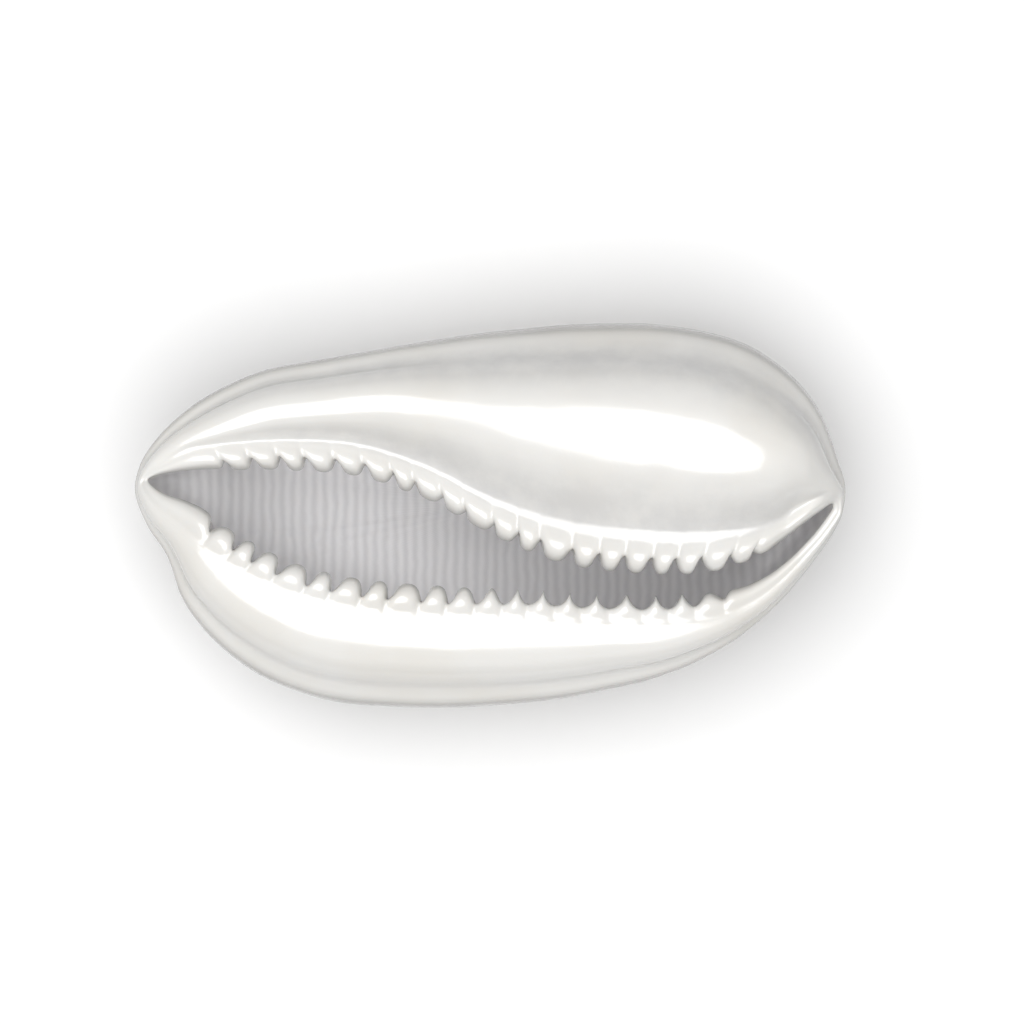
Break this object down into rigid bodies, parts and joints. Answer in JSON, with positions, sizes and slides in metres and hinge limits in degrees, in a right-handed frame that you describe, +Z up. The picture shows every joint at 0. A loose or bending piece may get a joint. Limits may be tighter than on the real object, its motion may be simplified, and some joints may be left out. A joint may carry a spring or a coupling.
{
  "type": "cowrie shell",
  "caption": "Glossy egg-shaped sea shell lying on its domed back, with a long toothed aperture on top that opens into one hollow and ends in a short canal at each tip.",
  "frame": {"origin": "centre of the shell's bounding box in plan, on the surface it rests on", "axes": "+X along the shell towards the posterior (spire) end, +Y towards the columellar side, +Z up, out of the toothed base"},
  "size_m": [0.08, 0.0438, 0.0377],
  "materials": {
    "enamel": "polished white shell enamel, glossy"
  },
  "bodies": {
    "root": {"shell": "enamel"}
  },
  "joints": []
}
